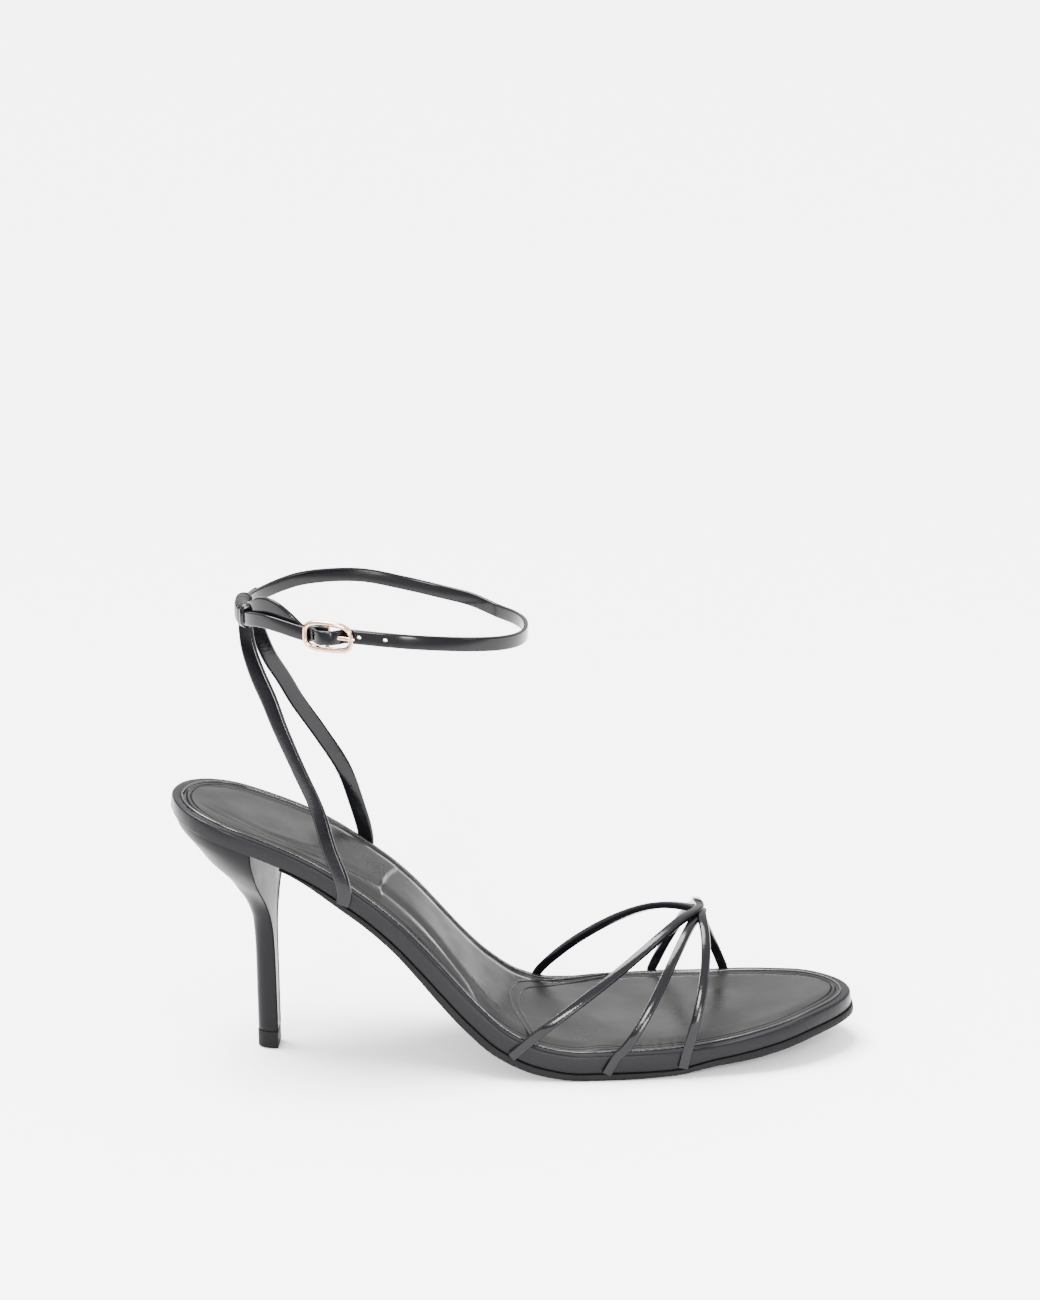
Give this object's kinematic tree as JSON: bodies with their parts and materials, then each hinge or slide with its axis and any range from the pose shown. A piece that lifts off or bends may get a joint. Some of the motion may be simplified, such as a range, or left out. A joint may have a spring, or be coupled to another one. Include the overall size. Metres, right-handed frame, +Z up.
{
  "type": "strappy high-heeled sandal",
  "caption": "Right-foot high-heeled sandal: crossed toe straps meeting in a knot, back straps rising to a sleeve, buckled ankle strap, padded insole on a wrapped sole and a slim heel",
  "frame": {"origin": "centre of the heel tip's underside, on the floor", "axes": "+X forwards towards the toe, -Y towards the outer side of the foot, +Z up from the floor"},
  "size_m": [0.2191, 0.0842, 0.1551],
  "materials": {
    "upper_leather": "satin",
    "strap_leather": "glossy, creased",
    "lining_leather": "soft satin",
    "sole_rubber": "matte",
    "buckle_metal": "polished rose gold"
  },
  "bodies": {
    "root": {"footbed": "upper_leather", "insole": "lining_leather", "outsole": "sole_rubber", "heel": "upper_leather", "heel_top_piece": "sole_rubber", "toe_straps": "strap_leather", "back_straps": "strap_leather", "ankle_strap": "strap_leather", "buckle_frame": "buckle_metal", "buckle_prong": "buckle_metal"}
  },
  "joints": []
}
